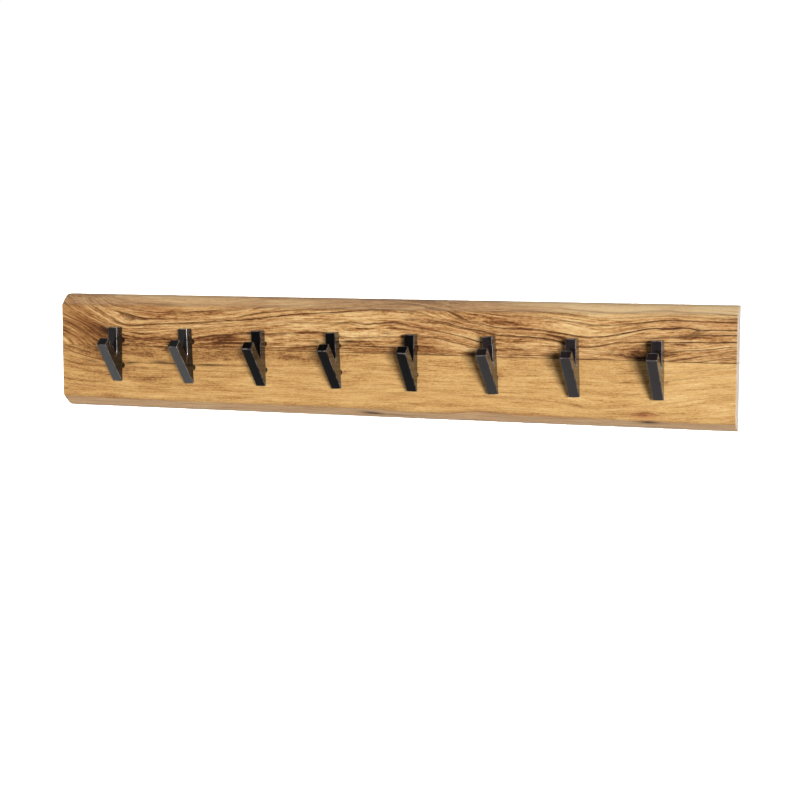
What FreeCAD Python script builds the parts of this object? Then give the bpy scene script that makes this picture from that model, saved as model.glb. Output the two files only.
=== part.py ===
"""Wall hook rack: a live-edge board of two glued staves that carries eight cast V hooks.

Each hook stands off the board on two round sleeves. A screw from behind runs through the
board and each sleeve into a tapped hole in the hook's leg. Two keyhole plates, let in flush
at the back, hang the board on two wall screws. Nothing on the rack moves.

Millimetres. The origin is the centre of the back face, in the plane of the wall:
+X to the right along the board, -Y out into the room, +Z up.
"""

import FreeCAD, Part
import math
import os

# Board
BOARD_LENGTH = 1190.0
BOARD_HEIGHT = 200.0
BOARD_THICKNESS = 32.0
GLUE_LINE_Z = 10.4
UPPER_BEVEL_LEFT = 19.0
UPPER_BEVEL_RIGHT = 14.5
LOWER_BEVEL_LEFT = 20.0
LOWER_BEVEL_RIGHT = 14.5
BEVEL_WAVE = 0.9
BEVEL_WAVES = 3.5
UPPER_BEVEL_PHASE = 0.4
LOWER_BEVEL_PHASE = 2.2
BEVEL_STATIONS = 15
# Poles of each live edge's section: (depth from the front, share of the bevel's height).
UPPER_SLOPE = ((0, 1.0), (11, 0.37), (17, 0.0), (28, 0.0))
LOWER_SLOPE = ((0, 1.0), (11, 0.50), (21, 0.05), (31, 0.0))
WASTE_REACH = 6.0
WASTE_OVERRUN = 5.0
BLANK_ALLOWANCE = 1.0

# Hooks
HOOK_COUNT = 8
HOOK_PITCH = 136.0
HOOK_CENTRE_Z = -3.4
HOOK_WIDTH = 17.6
HOOK_HEIGHT = 98.0
LEG_THICKNESS = 19.5
ARM_LENGTH = 93.0
ARM_THICKNESS = 17.3
ARM_LEAN = 41.0
CORNER_RADIUS = 1.5
TOE_RADIUS = 1.2
CROTCH_RADIUS = 2.0
EDGE_RADIUS = 1.0
# Each hook was set by hand, so it leans a little: degrees, positive where its head leans left.
HOOK_LEANS = (-0.7, 2.0, 1.2, 2.8, -0.2, 3.6, 1.9, 0.5)

# Stand-off sleeves and the screws that run through them
SLEEVE_LENGTH = 16.0
SLEEVE_RADIUS = 5.2
SLEEVE_BORE_RADIUS = 3.2
UPPER_FIXING_HEIGHT = 73.4
LOWER_FIXING_HEIGHT = 29.0
SCREW_RADIUS = 3.0
SCREW_LENGTH = 55.0
SCREW_HEAD_RADIUS = 5.25
SCREW_HEAD_HEIGHT = 3.3
SCREW_CROWN_SHARE = 0.75
SCREW_POINT_CHAMFER = 0.6
SCREW_HEX_ACROSS = 4.0
SCREW_HEX_DEPTH = 2.0
SCREW_HOLE_RADIUS = 3.3
TAPPED_RADIUS = 3.05
TAPPED_DEPTH = 14.0
WASHER_RADIUS = 6.0
WASHER_BORE_RADIUS = 3.2
WASHER_THICKNESS = 1.6
COUNTERBORE_RADIUS = 7.0
COUNTERBORE_DEPTH = 7.5

# Keyhole hanger plates
PLATE_SPACING = 800.0
PLATE_CENTRE_Z = 55.0
PLATE_LENGTH = 44.0
PLATE_WIDTH = 17.0
PLATE_THICKNESS = 2.0
PLATE_FIT = 0.2
ENTRY_RADIUS = 4.75
SLOT_WIDTH = 5.0
SLOT_TRAVEL = 12.0
POCKET_WIDTH = 11.0
POCKET_DEPTH = 12.0
PLATE_SCREW_OFFSET = 16.5
PLATE_SCREW_RADIUS = 1.5
PLATE_SCREW_LENGTH = 16.0
PLATE_SCREW_PARALLEL_SHARE = 0.7
PLATE_SCREW_POINT_RADIUS = 0.2
PLATE_SCREW_PILOT_OVERRUN = 1.0
PLATE_SCREW_HEAD_RADIUS = 3.0
PLATE_SCREW_FIT = 0.05
PLATE_SCREW_RECESS_SHARE = 1.1
PLATE_SCREW_RECESS_WIDTH = 0.8
PLATE_SCREW_RECESS_DEPTH = 0.9

BACK_TO_FRONT = FreeCAD.Vector(0, -1, 0)
FRONT_TO_BACK = FreeCAD.Vector(0, 1, 0)
HALF_HEIGHT = BOARD_HEIGHT / 2
HOOK_BACK_Y = -BOARD_THICKNESS - SLEEVE_LENGTH


def cylinder(radius, length, x, y, z, direction=BACK_TO_FRONT):
    """A cylinder that starts at a point and runs along a direction."""
    return Part.makeCylinder(radius, length, FreeCAD.Vector(x, y, z), direction)


def section_point(x, depth, z):
    """A point of a cross-section at x: depth counts from the front face towards the wall."""
    return FreeCAD.Vector(x, -BOARD_THICKNESS + depth, z)


def bevel_height(x, left, right, phase):
    """Height of a live edge's slope at x: it narrows from left to right and waves a little."""
    along = x / BOARD_LENGTH + 0.5
    wave = BEVEL_WAVE * math.sin(2 * math.pi * BEVEL_WAVES * along + phase)
    return left + (right - left) * along + wave


def waste_wire(x, slope, side):
    """Outline at x of what lies outside the live edge: slope lists its (depth, height) poles.

    Heights are distances in from the board's edge; side is 1 for the top and -1 for the foot.
    """
    poles = [section_point(x, depth, side * (HALF_HEIGHT - height)) for depth, height in slope]
    curve = Part.BezierCurve()
    curve.setPoles(poles)
    lead = poles[0] + (poles[0] - poles[1]).normalize() * WASTE_REACH
    behind = poles[-1] + FreeCAD.Vector(0, WASTE_REACH, 0)
    outer_z = side * (HALF_HEIGHT + 2 * WASTE_REACH)
    corners = [
        behind,
        FreeCAD.Vector(x, behind.y, outer_z),
        FreeCAD.Vector(x, lead.y, outer_z),
        lead,
        poles[0],
    ]
    edges = [curve.toShape(), Part.makeLine(poles[-1], behind)]
    edges += [Part.makeLine(a, b) for a, b in zip(corners, corners[1:])]
    return Part.Wire(edges)


def live_edge_waste(side):
    """The solid cut away to leave the live edge along the board's top or foot."""
    if side > 0:
        shares = UPPER_SLOPE
        bevel = (UPPER_BEVEL_LEFT, UPPER_BEVEL_RIGHT, UPPER_BEVEL_PHASE)
    else:
        shares = LOWER_SLOPE
        bevel = (LOWER_BEVEL_LEFT, LOWER_BEVEL_RIGHT, LOWER_BEVEL_PHASE)
    first = -BOARD_LENGTH / 2 - WASTE_OVERRUN
    step = (BOARD_LENGTH + 2 * WASTE_OVERRUN) / (BEVEL_STATIONS - 1)
    wires = []
    for station in range(BEVEL_STATIONS):
        x = first + station * step
        height = bevel_height(x, *bevel)
        slope = [(depth, share * height) for depth, share in shares]
        wires.append(waste_wire(x, slope, side))
    return Part.makeLoft(wires, True, False)


def hook_positions():
    """(number, x, lean) of each hook, from left to right."""
    first = -HOOK_PITCH * (HOOK_COUNT - 1) / 2
    return [(i + 1, first + i * HOOK_PITCH, HOOK_LEANS[i]) for i in range(HOOK_COUNT)]


def fixing_point(x, lean, height):
    """Where a fixing's axis crosses the board, for a height above the hook's toe."""
    offset = height - HOOK_HEIGHT / 2
    angle = math.radians(lean)
    return x - offset * math.sin(angle), HOOK_CENTRE_Z + offset * math.cos(angle)


def upper_fixings():
    return [fixing_point(x, lean, UPPER_FIXING_HEIGHT) for _, x, lean in hook_positions()]


def lower_fixings():
    return [fixing_point(x, lean, LOWER_FIXING_HEIGHT) for _, x, lean in hook_positions()]


def plate_positions():
    return [("left", -PLATE_SPACING / 2), ("right", PLATE_SPACING / 2)]


def plate_screw_points(x):
    return [(x, PLATE_CENTRE_Z - PLATE_SCREW_OFFSET), (x, PLATE_CENTRE_Z + PLATE_SCREW_OFFSET)]


def slot_prism(x, z_low, z_high, radius, y_back, depth):
    """A round-ended upright slot, cut or filled from y_back towards the front."""
    low = cylinder(radius, depth, x, y_back, z_low)
    high = cylinder(radius, depth, x, y_back, z_high)
    corner = FreeCAD.Vector(x - radius, y_back - depth, z_low)
    middle = Part.makeBox(2 * radius, depth, z_high - z_low, corner)
    return low.fuse([middle, high]).removeSplitter()


def drill_fixings(stave, points):
    """Clearance holes right through, counterbored at the back for the screws' heads."""
    for x, z in points:
        stave = stave.cut(cylinder(SCREW_HOLE_RADIUS, BOARD_THICKNESS, x, 0, z))
        stave = stave.cut(cylinder(COUNTERBORE_RADIUS, COUNTERBORE_DEPTH, x, 0, z))
    return stave


def keyhole_z():
    """Heights of the keyhole's entry centre and of its slot's top centre."""
    return PLATE_CENTRE_Z - SLOT_TRAVEL / 2, PLATE_CENTRE_Z + SLOT_TRAVEL / 2


def cut_plate_recess(stave, x):
    """Seat for a hanger plate, a pocket behind its keyhole and pilot holes for its screws."""
    half = PLATE_LENGTH / 2 - PLATE_WIDTH / 2
    seat_radius = PLATE_WIDTH / 2 + PLATE_FIT
    low, high = PLATE_CENTRE_Z - half, PLATE_CENTRE_Z + half
    stave = stave.cut(slot_prism(x, low, high, seat_radius, 0, PLATE_THICKNESS))
    entry_z, top_z = keyhole_z()
    stave = stave.cut(slot_prism(x, entry_z, top_z, POCKET_WIDTH / 2, 0, POCKET_DEPTH))
    pilot_radius = PLATE_SCREW_RADIUS + PLATE_SCREW_FIT
    pilot_length = PLATE_SCREW_LENGTH + PLATE_SCREW_PILOT_OVERRUN
    for screw_x, screw_z in plate_screw_points(x):
        stave = stave.cut(cylinder(pilot_radius, pilot_length, screw_x, 0, screw_z))
    return stave


def make_upper_stave():
    height = HALF_HEIGHT - GLUE_LINE_Z
    corner = FreeCAD.Vector(-BOARD_LENGTH / 2, -BOARD_THICKNESS, GLUE_LINE_Z)
    blank_height = height + BLANK_ALLOWANCE
    blank = Part.makeBox(BOARD_LENGTH, BOARD_THICKNESS, blank_height, corner)
    stave = blank.cut(live_edge_waste(1))
    stave = drill_fixings(stave, upper_fixings())
    for _, x in plate_positions():
        stave = cut_plate_recess(stave, x)
    return stave


def make_lower_stave():
    blank_height = HALF_HEIGHT + GLUE_LINE_Z + BLANK_ALLOWANCE
    foot_z = -HALF_HEIGHT - BLANK_ALLOWANCE
    corner = FreeCAD.Vector(-BOARD_LENGTH / 2, -BOARD_THICKNESS, foot_z)
    blank = Part.makeBox(BOARD_LENGTH, BOARD_THICKNESS, blank_height, corner)
    stave = blank.cut(live_edge_waste(-1))
    return drill_fixings(stave, lower_fixings())


def rounded_outline(corners):
    """Closed wire through (point, radius) corners, with each corner rounded by an arc."""
    edges = []
    ends = []
    count = len(corners)
    for i, (point, radius) in enumerate(corners):
        before = (corners[i - 1][0] - point).normalize()
        after = (corners[(i + 1) % count][0] - point).normalize()
        half_angle = before.getAngle(after) / 2
        setback = radius / math.tan(half_angle)
        bisector = (before + after).normalize()
        middle = point + bisector * (radius / math.sin(half_angle) - radius)
        start, end = point + before * setback, point + after * setback
        edges.append(Part.Arc(start, middle, end).toShape())
        ends.append((start, end))
    for i, (_, end) in enumerate(ends):
        edges.append(Part.makeLine(end, ends[(i + 1) % count][0]))
    return Part.Wire(Part.__sortEdges__(edges))


def make_hook(x, lean):
    """A V hook: an upright leg and an arm that leans out, cast as one bar-like piece."""
    angle = math.radians(ARM_LEAN)
    tip_front = (ARM_LENGTH * math.sin(angle), ARM_LENGTH * math.cos(angle))
    tip_back = (
        tip_front[0] - ARM_THICKNESS * math.cos(angle),
        tip_front[1] + ARM_THICKNESS * math.sin(angle),
    )
    crotch = (LEG_THICKNESS, tip_back[1] - (tip_back[0] - LEG_THICKNESS) / math.tan(angle))
    profile = [
        ((0, 0), TOE_RADIUS),
        ((0, HOOK_HEIGHT), CORNER_RADIUS),
        ((LEG_THICKNESS, HOOK_HEIGHT), CORNER_RADIUS),
        (crotch, CROTCH_RADIUS),
        (tip_back, CORNER_RADIUS),
        (tip_front, CORNER_RADIUS),
    ]
    corners = [
        (FreeCAD.Vector(-HOOK_WIDTH / 2, -depth, height - HOOK_HEIGHT / 2), radius)
        for (depth, height), radius in profile
    ]
    face = Part.Face(rounded_outline(corners))
    body = face.extrude(FreeCAD.Vector(HOOK_WIDTH, 0, 0))
    side_edges = [
        edge
        for edge in body.Edges
        if abs(abs(edge.CenterOfMass.x) - HOOK_WIDTH / 2) < 1e-6
    ]
    body = body.makeFillet(EDGE_RADIUS, side_edges)
    for height in (UPPER_FIXING_HEIGHT, LOWER_FIXING_HEIGHT):
        hole = cylinder(TAPPED_RADIUS, TAPPED_DEPTH, 0, 0, height - HOOK_HEIGHT / 2)
        body = body.cut(hole)
    body.rotate(FreeCAD.Vector(0, 0, 0), BACK_TO_FRONT, lean)
    body.translate(FreeCAD.Vector(x, HOOK_BACK_Y, HOOK_CENTRE_Z))
    return body


def make_sleeve(x, z):
    outer = cylinder(SLEEVE_RADIUS, SLEEVE_LENGTH, x, -BOARD_THICKNESS, z)
    return outer.cut(cylinder(SLEEVE_BORE_RADIUS, SLEEVE_LENGTH, x, -BOARD_THICKNESS, z))


def make_washer(x, z):
    floor_y = -COUNTERBORE_DEPTH
    outer = cylinder(WASHER_RADIUS, WASHER_THICKNESS, x, floor_y, z, FRONT_TO_BACK)
    bore = cylinder(WASHER_BORE_RADIUS, WASHER_THICKNESS, x, floor_y, z, FRONT_TO_BACK)
    return outer.cut(bore)


def make_hook_screw(x, z):
    """Button-head machine screw with a hexagon socket, driven from the back."""
    seat_y = -COUNTERBORE_DEPTH + WASHER_THICKNESS
    shank = cylinder(SCREW_RADIUS, SCREW_LENGTH, x, seat_y, z)
    end = FreeCAD.Vector(x, seat_y - SCREW_LENGTH, z)
    point_edge = [edge for edge in shank.Edges if edge.CenterOfMass.distanceToPoint(end) < 0.01]
    shank = shank.makeChamfer(SCREW_POINT_CHAMFER, point_edge)
    head = cylinder(SCREW_HEAD_RADIUS, SCREW_HEAD_HEIGHT, x, seat_y, z, FRONT_TO_BACK)
    top = FreeCAD.Vector(x, seat_y + SCREW_HEAD_HEIGHT, z)
    crown = [edge for edge in head.Edges if edge.CenterOfMass.distanceToPoint(top) < 0.01]
    head = head.makeFillet(SCREW_HEAD_HEIGHT * SCREW_CROWN_SHARE, crown)
    corner_radius = SCREW_HEX_ACROSS / math.sqrt(3)
    hexagon = [
        FreeCAD.Vector(
            x + corner_radius * math.cos(math.radians(60 * i)),
            top.y,
            z + corner_radius * math.sin(math.radians(60 * i)),
        )
        for i in range(7)
    ]
    socket = Part.Face(Part.makePolygon(hexagon)).extrude(BACK_TO_FRONT * SCREW_HEX_DEPTH)
    return shank.fuse(head).removeSplitter().cut(socket)


def make_keyhole_plate(x):
    half = PLATE_LENGTH / 2 - PLATE_WIDTH / 2
    low, high = PLATE_CENTRE_Z - half, PLATE_CENTRE_Z + half
    plate = slot_prism(x, low, high, PLATE_WIDTH / 2, 0, PLATE_THICKNESS)
    entry_z, top_z = keyhole_z()
    plate = plate.cut(cylinder(ENTRY_RADIUS, PLATE_THICKNESS, x, 0, entry_z))
    plate = plate.cut(slot_prism(x, entry_z, top_z, SLOT_WIDTH / 2, 0, PLATE_THICKNESS))
    for screw_x, screw_z in plate_screw_points(x):
        plate = plate.cut(countersunk_form(screw_x, screw_z, PLATE_SCREW_FIT))
    return plate


def countersunk_form(x, z, extra):
    """A countersunk head and its parallel shank, grown by extra all round."""
    head_radius = PLATE_SCREW_HEAD_RADIUS + extra
    shank_radius = PLATE_SCREW_RADIUS + extra
    head_height = PLATE_SCREW_HEAD_RADIUS - PLATE_SCREW_RADIUS
    place = FreeCAD.Vector(x, 0, z)
    head = Part.makeCone(head_radius, shank_radius, head_height, place, BACK_TO_FRONT)
    parallel = PLATE_SCREW_LENGTH * PLATE_SCREW_PARALLEL_SHARE
    return head.fuse(cylinder(shank_radius, parallel, x, 0, z)).removeSplitter()


def make_plate_screw(x, z):
    """Small countersunk wood screw with a crossed recess and a cone point."""
    body = countersunk_form(x, z, 0)
    parallel = PLATE_SCREW_LENGTH * PLATE_SCREW_PARALLEL_SHARE
    radii = (PLATE_SCREW_RADIUS, PLATE_SCREW_POINT_RADIUS)
    place = FreeCAD.Vector(x, -parallel, z)
    point = Part.makeCone(*radii, PLATE_SCREW_LENGTH - parallel, place, BACK_TO_FRONT)
    body = body.fuse(point).removeSplitter()
    span = PLATE_SCREW_HEAD_RADIUS * PLATE_SCREW_RECESS_SHARE
    width = PLATE_SCREW_RECESS_WIDTH
    for size_x, size_z in ((span, width), (width, span)):
        corner = FreeCAD.Vector(x - size_x / 2, -PLATE_SCREW_RECESS_DEPTH, z - size_z / 2)
        body = body.cut(Part.makeBox(size_x, PLATE_SCREW_RECESS_DEPTH, size_z, corner))
    return body


def build():
    """Every piece of the rack by node name."""
    nodes = {"upper_stave": make_upper_stave(), "lower_stave": make_lower_stave()}
    for number, x, lean in hook_positions():
        nodes[f"hook_{number}"] = make_hook(x, lean)
        fixings = (("upper", UPPER_FIXING_HEIGHT), ("lower", LOWER_FIXING_HEIGHT))
        for name, height in fixings:
            nodes[f"{name}_sleeve_{number}"] = make_sleeve(*fixing_point(x, lean, height))
    fixing_points = upper_fixings() + lower_fixings()
    nodes["hook_screws"] = Part.makeCompound([make_hook_screw(x, z) for x, z in fixing_points])
    nodes["hook_screw_washers"] = Part.makeCompound([make_washer(x, z) for x, z in fixing_points])
    plate_screws = []
    for side, x in plate_positions():
        nodes[f"keyhole_plate_{side}"] = make_keyhole_plate(x)
        plate_screws += [make_plate_screw(*point) for point in plate_screw_points(x)]
    nodes["plate_screws"] = Part.makeCompound(plate_screws)
    return nodes


os.makedirs("parts", exist_ok=True)
for node, shape in build().items():
    solids = len(shape.Solids)
    print(f"{node}: {solids} solid(s), {shape.Volume:.0f} mm3, valid {shape.isValid()}")
    shape.exportStep(f"parts/{node}.step")
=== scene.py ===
"""Wall hook rack: a live-edge board of two glued wood staves that carries eight black V hooks.

The CAD frame gives every place. The staves, hooks and sleeves are finer meshes that stand for
their CAD nodes; the screws, washers and keyhole plates are the CAD nodes with finished metals.
Shapes and the wood's stored figure are in millimetres; meshes, places in materials, the studio
and the camera are in metres.
"""

import math

import bmesh
import bpy
import numpy as np
from mathutils import Matrix, Vector, noise


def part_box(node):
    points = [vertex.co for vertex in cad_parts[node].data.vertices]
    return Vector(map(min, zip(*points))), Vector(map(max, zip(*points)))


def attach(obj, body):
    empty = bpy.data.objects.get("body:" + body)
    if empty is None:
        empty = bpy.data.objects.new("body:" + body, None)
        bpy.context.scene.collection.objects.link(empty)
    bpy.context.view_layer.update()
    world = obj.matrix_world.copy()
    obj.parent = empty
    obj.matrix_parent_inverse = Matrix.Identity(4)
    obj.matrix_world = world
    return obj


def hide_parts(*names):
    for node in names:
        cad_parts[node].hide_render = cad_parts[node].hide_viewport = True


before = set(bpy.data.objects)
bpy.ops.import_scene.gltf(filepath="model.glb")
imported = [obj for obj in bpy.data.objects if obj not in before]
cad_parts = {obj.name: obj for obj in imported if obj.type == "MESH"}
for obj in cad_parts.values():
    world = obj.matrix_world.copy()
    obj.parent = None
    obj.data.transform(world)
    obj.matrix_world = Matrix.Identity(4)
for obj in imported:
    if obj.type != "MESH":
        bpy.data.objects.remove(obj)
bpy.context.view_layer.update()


# ---- places taken from the frame

MM = 0.001


def box_mm(node):
    """A CAD node's lowest and highest corners in millimetres."""
    low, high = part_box(node)
    return np.array(low) / MM, np.array(high) / MM


def middle_mm(node):
    low, high = box_mm(node)
    return (low + high) / 2


UPPER_LOW, UPPER_HIGH = box_mm("upper_stave")
HALF_LENGTH = UPPER_HIGH[0]
HALF_HEIGHT = UPPER_HIGH[2]
THICKNESS = -UPPER_LOW[1]
GLUE_Z = UPPER_LOW[2]
HOOK_NUMBERS = range(1, 9)


# ---- node materials

# How much brighter than its paint a surface shows where the key light falls.
KEY_BRIGHTNESS = 1.6


def srgb(red, green, blue):
    """An 8-bit screen colour as the linear colour that a shader takes."""
    linear = []
    for value in (red, green, blue):
        share = value / 255
        linear.append(share / 12.92 if share <= 0.04045 else ((share + 0.055) / 1.055) ** 2.4)
    return (*linear, 1.0)


def lit(red, green, blue):
    """The paint colour that shows as an 8-bit screen colour where the key light falls."""
    return (*(value / KEY_BRIGHTNESS for value in srgb(red, green, blue)[:3]), 1.0)


class Nodes:
    """A node tree under construction. Most methods add nodes and return their last output."""

    def __init__(self, tree):
        self.tree = tree

    def node(self, kind, sockets=None, **settings):
        made = self.tree.nodes.new(kind)
        for key, value in settings.items():
            setattr(made, key, value)
        for key, value in (sockets or {}).items():
            self.put(made.inputs[key], value)
        return made

    def put(self, socket, value):
        if isinstance(value, bpy.types.NodeSocket):
            self.tree.links.new(value, socket)
        else:
            socket.default_value = value

    def parts(self, vector):
        return self.node("ShaderNodeSeparateXYZ", {0: vector}).outputs

    def math(self, operation, *values, clamp=False):
        made = self.node("ShaderNodeMath", dict(enumerate(values)), operation=operation,
                         use_clamp=clamp)
        return made.outputs[0]

    def times(self, first, second, clamp=False):
        return self.math("MULTIPLY", first, second, clamp=clamp)

    def add(self, value, part, share):
        """The value plus a share of another."""
        return self.math("MULTIPLY_ADD", part, share, value)

    def swing(self, value, part, amount):
        """The value moved either way by a noise, which swings about one half."""
        return self.add(value, self.math("SUBTRACT", part, 0.5), amount)

    def distance(self, value, centre):
        return self.math("ABSOLUTE", self.math("SUBTRACT", value, centre))

    def range(self, value, low, high, new_low=0.0, new_high=1.0, smooth=True):
        sockets = {0: value, 1: low, 2: high, 3: new_low, 4: new_high}
        kind = "SMOOTHSTEP" if smooth else "LINEAR"
        return self.node("ShaderNodeMapRange", sockets, interpolation_type=kind).outputs[0]


class Shader(Nodes):
    """A material's node tree."""

    def __init__(self, name):
        self.material = bpy.data.materials.new(name)
        self.material.use_nodes = True
        super().__init__(self.material.node_tree)

    def attribute(self, name, output="Fac"):
        return self.node("ShaderNodeAttribute", attribute_name=name).outputs[output]

    def position(self):
        return self.node("ShaderNodeTexCoord").outputs["Object"]

    def noise(self, vector, scale, detail=2.0, roughness=0.5, distortion=0.0):
        """Noise from 0 to 1 whose features measure one unit of the scaled vector."""
        scaled = self.node("ShaderNodeVectorMath", {0: vector, 1: scale}, operation="MULTIPLY")
        sockets = {"Vector": scaled.outputs[0], "Scale": 1.0, "Detail": detail,
                   "Roughness": roughness, "Distortion": distortion}
        return self.node("ShaderNodeTexNoise", sockets).outputs["Fac"]

    def ramp(self, factor, stops):
        made = self.node("ShaderNodeValToRGB", {0: factor})
        elements = made.color_ramp.elements
        elements[0].position, elements[0].color = stops[0]
        elements[1].position, elements[1].color = stops[-1]
        for place, colour in stops[1:-1]:
            elements.new(place).color = colour
        return made.outputs[0]

    def mix(self, factor, first, second):
        made = self.node("ShaderNodeMix", {"Factor": factor}, data_type="RGBA")
        self.put(made.inputs[6], first)
        self.put(made.inputs[7], second)
        return made.outputs[2]

    def bump(self, height, distance, strength):
        sockets = {"Height": height, "Distance": distance * MM, "Strength": strength}
        return self.node("ShaderNodeBump", sockets).outputs[0]

    def finish(self, **sockets):
        """Sets the surface's sockets by name, with spaces written as underscores."""
        surface = self.tree.nodes["Principled BSDF"]
        for key, value in sockets.items():
            self.put(surface.inputs[key.replace("_", " ")], value)
        return self.material


# ---- meshes

ROUND_SEGMENTS = 40
SLOT_SEGMENTS = 20


def new_object(name, data):
    made = bpy.data.objects.new(name, data)
    bpy.context.scene.collection.objects.link(made)
    return made


def finish_bmesh(name, body):
    bmesh.ops.recalc_face_normals(body, faces=body.faces)
    mesh = bpy.data.meshes.new(name)
    body.to_mesh(mesh)
    body.free()
    return new_object(name, mesh)


def add_ring(body, outline):
    """New points of a mesh, in metres, from an outline in millimetres."""
    return [body.verts.new(Vector(point) * MM) for point in outline]


def bridge(body, rings, following):
    """Faces between each ring of points and the one that follows it."""
    for ring, after in zip(rings, following):
        for i, point in enumerate(ring):
            j = (i + 1) % len(ring)
            body.faces.new((point, ring[j], after[j], after[i]))


def circle(x, y, z, radius, segments=ROUND_SEGMENTS):
    turns = [2 * math.pi * i / segments for i in range(segments)]
    return [(x + radius * math.cos(turn), y, z + radius * math.sin(turn)) for turn in turns]


def stadium(x, y, low, high, radius):
    """Outline of an upright slot with round ends."""
    made = []
    for centre, start in ((high, 0.0), (low, math.pi)):
        for i in range(SLOT_SEGMENTS + 1):
            turn = start + math.pi * i / SLOT_SEGMENTS
            made.append((x + radius * math.cos(turn), y, centre + radius * math.sin(turn)))
    return made


def lathe(name, profile, place, segments):
    """Turns a closed (radius, distance) profile about the Y axis, forward from a place."""
    x, y, z = place
    body = bmesh.new()
    rings = [add_ring(body, circle(x, y - distance, z, radius, segments))
             for radius, distance in profile]
    bridge(body, rings, rings[1:] + rings[:1])
    return finish_bmesh(name, body)


def plugs(name, stacks):
    """Closed solids, each from a stack of equal outlines, as one object."""
    body = bmesh.new()
    for stack in stacks:
        rings = [add_ring(body, outline) for outline in stack]
        body.faces.new(rings[0])
        body.faces.new(rings[-1][::-1])
        bridge(body, rings, rings[1:])
    return finish_bmesh(name, body)


def cut_away(piece, cutter):
    """Subtracts a cutter from a piece and removes the cutter."""
    modifier = piece.modifiers.new("cut", "BOOLEAN")
    modifier.operation = "DIFFERENCE"
    modifier.solver = "EXACT"
    modifier.object = cutter
    graph = bpy.context.evaluated_depsgraph_get()
    cut = bpy.data.meshes.new_from_object(piece.evaluated_get(graph), depsgraph=graph)
    piece.modifiers.clear()
    piece.data = cut
    bpy.data.objects.remove(cutter)


def store(mesh, name, values, kind="FLOAT"):
    attribute = mesh.attributes.new(name, kind, "POINT")
    key = "vector" if kind == "FLOAT_VECTOR" else "value"
    attribute.data.foreach_set(key, np.asarray(values, np.float32).ravel())


def shade(mesh, degrees):
    """Smooth shading with sharp edges above an angle."""
    mesh.polygons.foreach_set("use_smooth", [True] * len(mesh.polygons))
    mesh.set_sharp_from_angle(angle=math.radians(degrees))


def dress(piece, material, node):
    """Puts a piece in the model: its material, its body and the CAD node that it stands for."""
    piece.data.materials.clear()
    piece.data.materials.append(material)
    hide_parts(node)
    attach(piece, "root")


# ---- the wood's figure

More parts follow.
